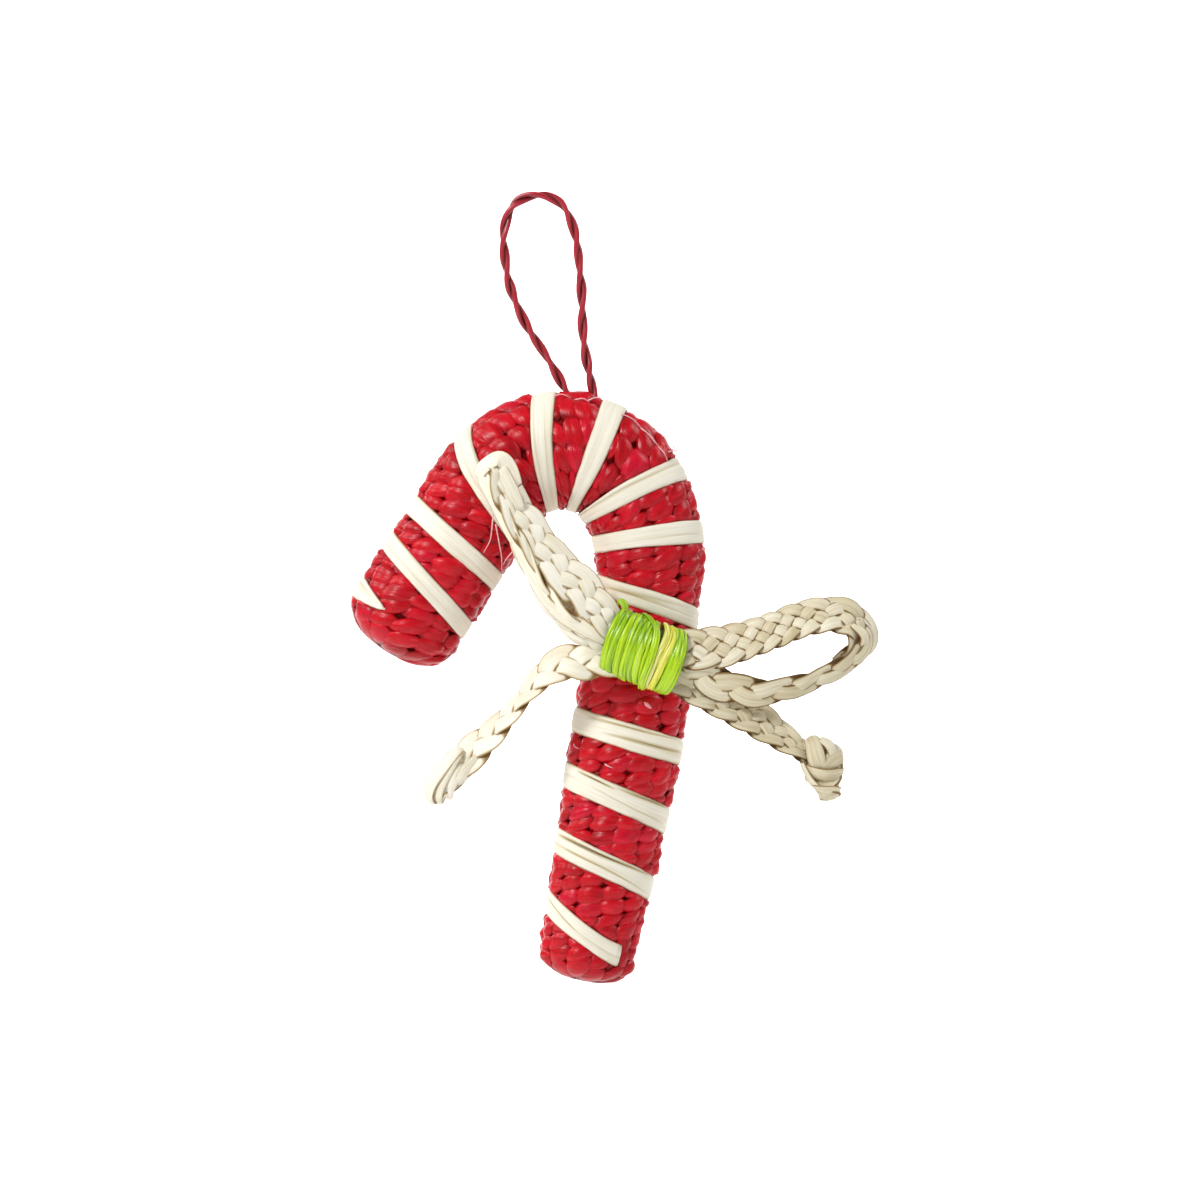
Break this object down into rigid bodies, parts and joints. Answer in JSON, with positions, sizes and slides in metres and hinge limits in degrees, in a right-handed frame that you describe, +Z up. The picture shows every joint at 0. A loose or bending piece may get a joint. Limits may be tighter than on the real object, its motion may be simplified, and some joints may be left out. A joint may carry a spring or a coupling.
{
  "type": "straw ornament",
  "caption": "Woven straw candy-cane hanging ornament, wound with a pale raffia strip and tied with a plaited straw bow.",
  "frame": {"origin": "the inside top of the hanging loop, where a hook or twig carries the ornament", "axes": "+Z up along the hanging ornament, front with the bow towards -Y, the hook's open side towards -X"},
  "size_m": [0.1153, 0.0316, 0.1742],
  "materials": {
    "red_straw": "dyed straw, satin",
    "pale_raffia": "bleached raffia, satin",
    "natural_plait": "natural straw plait, matt",
    "green_raffia": "dyed raffia, glossy",
    "red_cord": "twisted dyed straw, satin"
  },
  "bodies": {
    "root": {"woven_cane": "red_straw", "wound_strip": "pale_raffia", "plaited_bow": "natural_plait", "raffia_tie": "green_raffia", "hanging_loop": "red_cord"}
  },
  "joints": []
}
